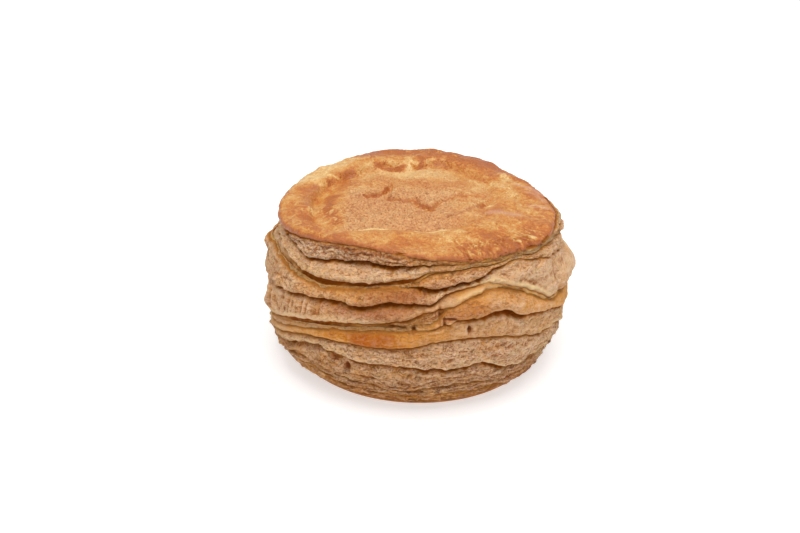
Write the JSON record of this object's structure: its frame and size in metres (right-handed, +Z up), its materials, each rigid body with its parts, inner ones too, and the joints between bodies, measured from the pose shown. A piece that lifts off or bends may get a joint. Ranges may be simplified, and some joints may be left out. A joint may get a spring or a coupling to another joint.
{
  "type": "round puff pastry",
  "caption": "Round drum of baked puff pastry with flaky folds round its side and a browned, glazed lid with a sunken middle.",
  "frame": {"origin": "centre of the flat base, on the surface the pastry rests on", "axes": "+Z up through the lid; -Y out of the side with the widest torn folds; +X to the right seen from -Y"},
  "size_m": [0.1004, 0.102, 0.0504],
  "materials": {
    "baked_dough": "matt, pale and floury down the side, browned and lightly glazed on top"
  },
  "bodies": {
    "root": {"pastry": "baked_dough"}
  },
  "joints": []
}
